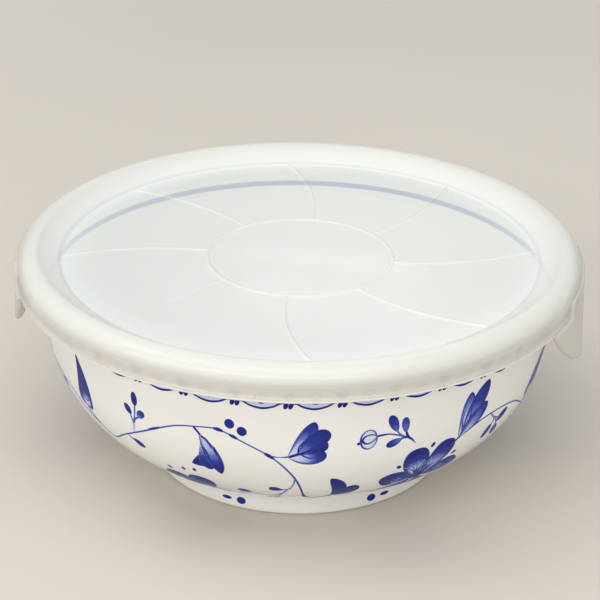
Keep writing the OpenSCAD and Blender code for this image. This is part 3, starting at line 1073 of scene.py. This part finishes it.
def porcelain_material():
    """White glazed porcelain with faint clouds and a bare, rougher foot edge."""
    nodes = Nodes("glazed_porcelain")
    split = nodes.add("ShaderNodeSeparateXYZ")
    nodes.link(nodes.place(), split.inputs["Vector"])
    glazed = nodes.add("ShaderNodeMapRange")
    glazed.inputs["From Min"].default_value = BARE_EDGE_LOW_M
    glazed.inputs["From Max"].default_value = BARE_EDGE_HIGH_M
    nodes.link(split.outputs["Z"], glazed.inputs["Value"])
    cloud = nodes.noise(22.0, detail=3.0)
    glaze = nodes.ramp(cloud, [(0.3, linear(230, 229, 225)), (0.7, linear(235, 234, 231))])
    mix = nodes.add("ShaderNodeMix", data_type="RGBA")
    mix.inputs["A"].default_value = linear(226, 214, 196)
    nodes.link(glazed.outputs["Result"], mix.inputs["Factor"])
    nodes.link(glaze, mix.inputs["B"])
    nodes.feed("Base Color", mix.outputs["Result"])
    nodes.feed("Roughness", nodes.span(glazed.outputs["Result"], low=0.7, high=0.12))
    nodes.fix("Specular IOR Level", 0.5)
    glaze_ripple(nodes)
    return nodes.material


def cobalt_material():
    """Blue brush painting under the glaze. Each vertex has a tone, from a pale wash to full blue."""
    nodes = Nodes("cobalt_under_glaze")
    patchy = nodes.span(nodes.noise(420.0, detail=3.0), low=0.86, high=1.1)
    shade = nodes.combine("MULTIPLY", nodes.attribute("tone"), patchy)
    blue = nodes.ramp(shade, [
        (0.0, linear(232, 231, 228)),
        (0.2, linear(186, 196, 226)),
        (0.45, linear(104, 120, 192)),
        (0.7, linear(52, 64, 150)),
        (1.0, linear(32, 41, 121)),
    ])
    nodes.feed("Base Color", blue)
    nodes.feed("Roughness", nodes.span(nodes.noise(90.0), low=0.1, high=0.16))
    nodes.fix("Specular IOR Level", 0.04)
    glaze_ripple(nodes)
    return nodes.material


def lid_material():
    """Frosted, milky soft plastic. Each vertex has a milkiness and a place on the colour ramp of painted
    light and shade.

    The ramp's stops between the panel and the crest paint a thin dark crease line at the foot of the slope
    and the slope lighter; the panel is painted lighter, the skirt darker, and the edge bead gets a bright
    painted highlight line.
    """
    nodes = Nodes("frosted_plastic")
    cloud = nodes.span(nodes.noise(14.0, detail=3.0), low=-0.02, high=0.02)
    shade = nodes.combine("ADD", nodes.attribute("light_and_shade"), cloud)
    # Painted light and shade: panel lighter, dark crease line at the slope's foot, slope lighter, crest,
    # skirt darker, bright bead highlight
    colour = nodes.ramp(shade, [
        (0.03, linear(243, 248, 244)),
        (0.07, linear(227, 230, 226)),
        (0.13, linear(240, 242, 239)),
        (0.3, linear(239, 240, 236)),
        (CREST_TINT, linear(235, 235, 229)),
        (SKIRT_SHADE_TINT, linear(216, 212, 204)),
        (BEAD_HIGHLIGHT_TINT, linear(250, 249, 245)),
    ])
    nodes.feed("Base Color", colour)
    nodes.feed("Roughness", nodes.span(nodes.noise(300.0), low=0.18, high=0.26))
    nodes.feed("Alpha", nodes.attribute("haze"))
    nodes.bump(nodes.noise(600.0), strength=0.02, distance=0.0002)
    return nodes.material


# Building the object

bowl = build_bowl()
bowl.data.materials.append(porcelain_material())
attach(bowl, "bowl")
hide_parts("bowl")

paint_bowl(cobalt_material())

lid = build_lid()
lid.data.materials.append(lid_material())
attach(lid, "lid")
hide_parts("lid")


# Stage, light and camera

FLOOR_HALF_M = 12.0


def stage_floor():
    """Large plain pale floor at the height of the foot ring."""
    mesh = bpy.data.meshes.new("floor")
    signs = ((-1, -1), (1, -1), (1, 1), (-1, 1))
    mesh.from_pydata([(FLOOR_HALF_M * x, FLOOR_HALF_M * y, 0) for x, y in signs], [], [(0, 1, 2, 3)])
    floor = bpy.data.objects.new("floor", mesh)
    bpy.context.scene.collection.objects.link(floor)
    nodes = Nodes("pale_floor")
    tone = nodes.ramp(nodes.noise(3.0), [(0.3, linear(200, 194, 184)), (0.7, linear(206, 200, 190))])
    nodes.feed("Base Color", tone)
    nodes.fix("Roughness", 0.6)
    floor.data.materials.append(nodes.material)


def soft_box(name, place, target, size, power, colour):
    """Rectangular area lamp at a place, turned towards a target."""
    lamp = bpy.data.lights.new(name, "AREA")
    lamp.shape = "RECTANGLE"
    lamp.size, lamp.size_y = size
    lamp.energy = power
    lamp.color = colour
    obj = bpy.data.objects.new(name, lamp)
    obj.location = place
    aim = Vector(target) - Vector(place)
    obj.rotation_euler = aim.to_track_quat("-Z", "Y").to_euler()
    bpy.context.scene.collection.objects.link(obj)


def studio_world(colour, level):
    """Even surrounding light, the same from all sides."""
    world = bpy.data.worlds.new("studio")
    world.use_nodes = True
    light = world.node_tree.nodes["Background"]
    light.inputs["Color"].default_value = colour
    light.inputs["Strength"].default_value = level
    bpy.context.scene.world = world


CAMERA_LENS = 120.0
CAMERA_SENSOR = 36.0
CAMERA_AZIMUTH = -82.5
CAMERA_ELEVATION = 25.767
CAMERA_DISTANCE_M = 0.56367
CAMERA_ROLL = 0.725
CAMERA_NEAR_M = 0.01
CAMERA_TARGET_M = Vector((0.000224, 0.00003, 0.04494))


def photo_camera():
    """Camera at the photograph's angle."""
    data = bpy.data.cameras.new("camera")
    data.lens = CAMERA_LENS
    data.sensor_width = CAMERA_SENSOR
    data.clip_start = CAMERA_NEAR_M
    camera = bpy.data.objects.new("camera", data)
    level = math.cos(math.radians(CAMERA_ELEVATION))
    x, y = heading(CAMERA_AZIMUTH) * level
    away = Vector((x, y, math.sin(math.radians(CAMERA_ELEVATION))))
    place = CAMERA_TARGET_M + away * CAMERA_DISTANCE_M
    turn = (-away).to_track_quat("-Z", "Y").to_matrix().to_4x4()
    roll = Matrix.Rotation(math.radians(CAMERA_ROLL), 4, "Z")
    camera.matrix_world = Matrix.Translation(place) @ turn @ roll
    bpy.context.scene.collection.objects.link(camera)
    bpy.context.scene.camera = camera


stage_floor()
studio_world(colour=(0.98, 0.99, 1.0, 1.0), level=0.72)
soft_box("top_light", place=(-0.16, -0.32, 1.12), target=(0, 0, 0.05), size=(1.8, 0.7),
         power=6.6, colour=(1.0, 1.0, 0.99))
soft_box("front_light", place=(-0.2, -1.04, 0.66), target=(0, 0, 0.04), size=(2.6, 0.3),
         power=8.5, colour=(1.0, 0.98, 0.95))
photo_camera()
bpy.context.scene.view_settings.view_transform = "Standard"
